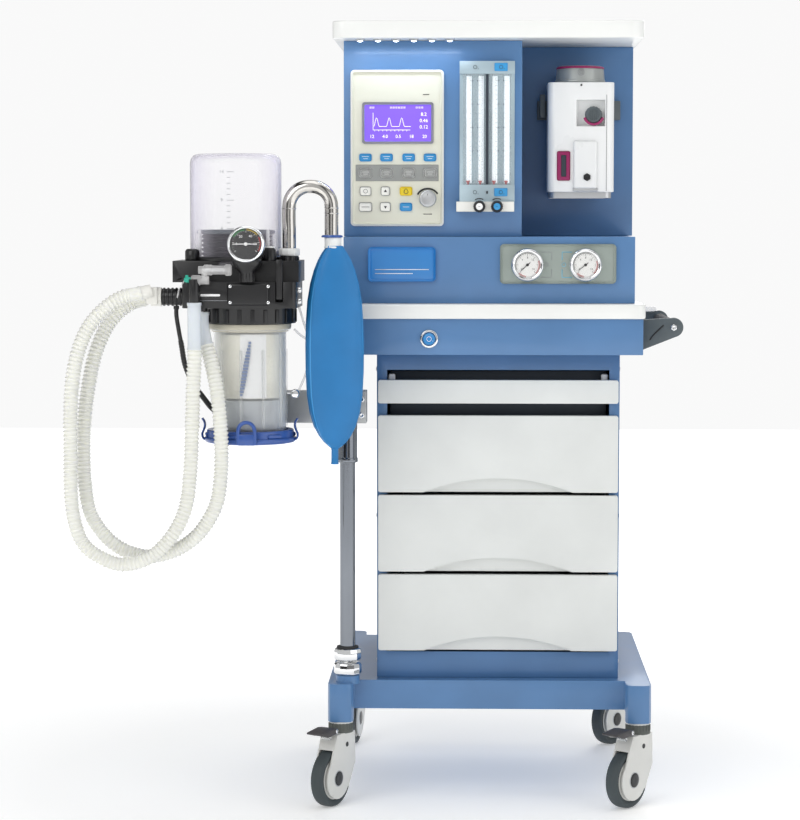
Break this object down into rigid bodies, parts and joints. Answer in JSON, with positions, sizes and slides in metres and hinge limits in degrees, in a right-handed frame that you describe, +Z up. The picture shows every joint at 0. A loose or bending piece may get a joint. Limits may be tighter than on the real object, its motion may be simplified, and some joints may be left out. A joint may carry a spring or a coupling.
{
  "type": "anesthesia machine",
  "caption": "Wheeled anesthesia machine with a vaporizer, flowmeter, control panel, drawers, a swing-out absorber with bellows and canister, a breathing bag and hoses.",
  "frame": {"origin": "on the floor under the middle of the machine's box, measured without the hoses, Y-piece and sensor cable", "axes": "+X to the operator's right, +Y to the rear, +Z up"},
  "size_m": [1.0579, 0.7898, 1.3648],
  "materials": {
    "blue_paint": "satin powder coat",
    "white_shell": "gloss moulded",
    "drawer_plastic": "satin moulded",
    "panel_film": "matt film",
    "knob_silver": "brushed",
    "flow_frame": "satin",
    "clear_acrylic": "clear",
    "clear_dome": "clear, faint violet",
    "canister_clear": "clear, filled with pale granules",
    "float_red": "gloss",
    "black_plastic": "satin",
    "bellows_rubber": "matt",
    "vaporizer_enamel": "white enamel",
    "dark_metal": "satin paint",
    "dial_silver": "satin",
    "gauge_chrome": "polished",
    "button_blue": "gloss",
    "pole_steel": "polished stainless",
    "tube_chrome": "polished",
    "ring_blue": "gloss",
    "bag_rubber": "satin",
    "hose_plastic": "milky, corrugated",
    "y_white": "gloss",
    "cable_black": "matt, ribbed",
    "caster_cover": "satin moulded",
    "caster_tyre": "matt",
    "pedal_black": "matt"
  },
  "bodies": {
    "chassis": {"base_frame": "blue_paint", "cabinet_shell": "blue_paint", "lower_housing": "blue_paint", "worktop": "white_shell", "gauge_housing": "blue_paint", "tower_housing": "blue_paint", "control_housing": "blue_paint", "rear_cover": "blue_paint", "top_shelf": "white_shell", "side_handle": "dark_metal", "control_panel": "panel_film", "flowmeter_frame": "flow_frame", "flow_tubes_left": "clear_acrylic", "flow_tubes_right": "clear_acrylic", "vaporizer_body": "vaporizer_enamel", "vaporizer_mount": "dark_metal", "supply_gauge_left": "gauge_chrome", "supply_gauge_right": "gauge_chrome", "pole": "pole_steel"},
    "drawer_lower_body": {"drawer_lower": "drawer_plastic"},
    "drawer_middle_body": {"drawer_middle": "drawer_plastic"},
    "drawer_upper_body": {"drawer_upper": "drawer_plastic"},
    "tray_body": {"tray": "drawer_plastic"},
    "swivel_front_left": {"caster_front_left_fork": "caster_cover"},
    "wheel_front_left": {"caster_front_left_wheel": "caster_tyre"},
    "pedal_front_left": {"caster_front_left_pedal": "pedal_black"},
    "swivel_front_right": {"caster_front_right_fork": "caster_cover"},
    "wheel_front_right": {"caster_front_right_wheel": "caster_tyre"},
    "pedal_front_right": {"caster_front_right_pedal": "pedal_black"},
    "swivel_rear_left": {"caster_rear_left_fork": "caster_cover"},
    "wheel_rear_left": {"caster_rear_left_wheel": "caster_tyre"},
    "pedal_rear_left": {"caster_rear_left_pedal": "pedal_black"},
    "swivel_rear_right": {"caster_rear_right_fork": "caster_cover"},
    "wheel_rear_right": {"caster_rear_right_wheel": "caster_tyre"},
    "pedal_rear_right": {"caster_rear_right_pedal": "pedal_black"},
    "absorber": {"absorber_arm": "pole_steel", "absorber_block": "black_plastic", "bellows_dome": "clear_dome", "bellows": "bellows_rubber", "canister": "canister_clear", "airway_gauge": "gauge_chrome", "hose_inspiratory": "hose_plastic", "hose_expiratory": "hose_plastic", "sensor_cable": "cable_black", "y_piece": "y_white"},
    "bag_arm": {"bag_tube": "tube_chrome", "breathing_bag": "bag_rubber"},
    "bellows_top": {"bellows_plate": "black_plastic"},
    "lock_ring": {"canister_ring": "ring_blue"},
    "vent_lever": {"bag_vent_lever": "black_plastic"},
    "encoder": {"encoder_knob": "knob_silver"},
    "flow_valve_left": {"flow_knob_left": "black_plastic"},
    "flow_valve_right": {"flow_knob_right": "black_plastic"},
    "filler": {"filler_cap": "dark_metal"},
    "dial": {"vaporizer_dial": "dial_silver"},
    "float_body_1": {"float_1": "float_red"},
    "float_body_2": {"float_2": "float_red"},
    "float_body_3": {"float_3": "float_red"},
    "float_body_4": {"float_4": "float_red"},
    "flush": {"oxygen_flush_button": "button_blue"}
  },
  "joints": [
    {"name": "drawer_lower_slide", "type": "slide", "parent": "chassis", "child": "drawer_lower_body", "axis": [0, -1, 0], "range_m": [0, 0.34]},
    {"name": "drawer_middle_slide", "type": "slide", "parent": "chassis", "child": "drawer_middle_body", "axis": [0, -1, 0], "range_m": [0, 0.34]},
    {"name": "drawer_upper_slide", "type": "slide", "parent": "chassis", "child": "drawer_upper_body", "axis": [0, -1, 0], "range_m": [0, 0.34]},
    {"name": "tray_slide", "type": "slide", "parent": "chassis", "child": "tray_body", "axis": [0, -1, 0], "range_m": [0, 0.3]},
    {"name": "caster_front_left_swivel", "type": "hinge", "parent": "chassis", "child": "swivel_front_left", "pos_m": [-0.1526, -0.1909, 0.14], "axis": [0, 0, 1], "continuous": true},
    {"name": "caster_front_left_roll", "type": "hinge", "parent": "swivel_front_left", "child": "wheel_front_left", "pos_m": [-0.1691, -0.2206, 0.05], "axis": [0.8746, -0.4848, 0], "continuous": true},
    {"name": "caster_front_left_brake", "type": "hinge", "parent": "swivel_front_left", "child": "pedal_front_left", "pos_m": [-0.173, -0.2276, 0.1347], "axis": [0.8746, -0.4848, 0], "range_deg": [0, 14]},
    {"name": "caster_front_right_swivel", "type": "hinge", "parent": "chassis", "child": "swivel_front_right", "pos_m": [0.3684, -0.1909, 0.14], "axis": [0, 0, 1], "continuous": true},
    {"name": "caster_front_right_roll", "type": "hinge", "parent": "swivel_front_right", "child": "wheel_front_right", "pos_m": [0.3474, -0.2177, 0.05], "axis": [0.788, -0.6157, 0], "continuous": true},
    {"name": "caster_front_right_brake", "type": "hinge", "parent": "swivel_front_right", "child": "pedal_front_right", "pos_m": [0.3425, -0.224, 0.1347], "axis": [0.788, -0.6157, 0], "range_deg": [0, 14]},
    {"name": "caster_rear_left_swivel", "type": "hinge", "parent": "chassis", "child": "swivel_rear_left", "pos_m": [-0.1526, 0.3651, 0.14], "axis": [0, 0, 1], "continuous": true},
    {"name": "caster_rear_left_roll", "type": "hinge", "parent": "swivel_rear_left", "child": "wheel_rear_left", "pos_m": [-0.1574, 0.3314, 0.05], "axis": [0.9903, -0.1392, 0], "continuous": true},
    {"name": "caster_rear_left_brake", "type": "hinge", "parent": "swivel_rear_left", "child": "pedal_rear_left", "pos_m": [-0.1585, 0.3235, 0.1347], "axis": [0.9903, -0.1392, 0], "range_deg": [0, 14]},
    {"name": "caster_rear_right_swivel", "type": "hinge", "parent": "chassis", "child": "swivel_rear_right", "pos_m": [0.3684, 0.3651, 0.14], "axis": [0, 0, 1], "continuous": true},
    {"name": "caster_rear_right_roll", "type": "hinge", "parent": "swivel_rear_right", "child": "wheel_rear_right", "pos_m": [0.3474, 0.3383, 0.05], "axis": [0.788, -0.6157, 0], "continuous": true},
    {"name": "caster_rear_right_brake", "type": "hinge", "parent": "swivel_rear_right", "child": "pedal_rear_right", "pos_m": [0.3425, 0.332, 0.1347], "axis": [0.788, -0.6157, 0], "range_deg": [0, 14]},
    {"name": "absorber_swing", "type": "hinge", "parent": "chassis", "child": "absorber", "pos_m": [-0.1411, -0.1789, 0.7], "axis": [0, 0, 1], "range_deg": [-60, 4]},
    {"name": "bag_arm_swivel", "type": "hinge", "parent": "absorber", "child": "bag_arm", "pos_m": [-0.2341, -0.2889, 1], "axis": [0, 0, 1], "range_deg": [-18, 10]},
    {"name": "bellows_rise", "type": "slide", "parent": "absorber", "child": "bellows_top", "axis": [0, 0, 1], "range_m": [0, 0.1], "deforming": ["bellows"]},
    {"name": "lock_ring_turn", "type": "hinge", "parent": "absorber", "child": "lock_ring", "pos_m": [-0.3026, -0.2749, 0.655], "axis": [0, 0, 1], "range_deg": [0, 30]},
    {"name": "bag_vent_switch", "type": "hinge", "parent": "absorber", "child": "vent_lever", "pos_m": [-0.2461, -0.3509, 0.893], "axis": [1, 0, 0], "range_deg": [0, 25]},
    {"name": "encoder_turn", "type": "hinge", "parent": "chassis", "child": "encoder", "pos_m": [-0.0016, -0.15, 1.06], "axis": [0, -1, 0], "continuous": true},
    {"name": "flow_left_turn", "type": "hinge", "parent": "chassis", "child": "flow_valve_left", "pos_m": [0.0886, -0.1735, 1.046], "axis": [0, -1, 0], "range_deg": [0, 900]},
    {"name": "flow_right_turn", "type": "hinge", "parent": "chassis", "child": "flow_valve_right", "pos_m": [0.1192, -0.1735, 1.046], "axis": [0, -1, 0], "range_deg": [0, 900]},
    {"name": "filler_turn", "type": "hinge", "parent": "chassis", "child": "filler", "pos_m": [0.2899, -0.0804, 1.208], "axis": [0, -1, 0], "range_deg": [0, 540]},
    {"name": "vaporizer_dial_turn", "type": "hinge", "parent": "chassis", "child": "dial", "pos_m": [0.2679, -0.0319, 1.2803], "axis": [0, 0, 1], "range_deg": [0, 270]},
    {"name": "float_1_rise", "type": "slide", "parent": "chassis", "child": "float_body_1", "axis": [0, 0, 1], "range_m": [0, 0.17]},
    {"name": "float_2_rise", "type": "slide", "parent": "chassis", "child": "float_body_2", "axis": [0, 0, 1], "range_m": [0, 0.17]},
    {"name": "float_3_rise", "type": "slide", "parent": "chassis", "child": "float_body_3", "axis": [0, 0, 1], "range_m": [0, 0.17]},
    {"name": "float_4_rise", "type": "slide", "parent": "chassis", "child": "float_body_4", "axis": [0, 0, 1], "range_m": [0, 0.17]},
    {"name": "flush_press", "type": "slide", "parent": "chassis", "child": "flush", "axis": [0, 1, 0], "range_m": [0, 0.004], "stiffness_N_per_m": 600}
  ],
  "couplings": [
    {"joint": "float_1_rise", "follows": "flow_left_turn", "m_per_rad": 0.0108},
    {"joint": "float_2_rise", "follows": "flow_left_turn", "m_per_rad": 0.0108},
    {"joint": "float_3_rise", "follows": "flow_right_turn", "m_per_rad": 0.0108},
    {"joint": "float_4_rise", "follows": "flow_right_turn", "m_per_rad": 0.0108}
  ]
}
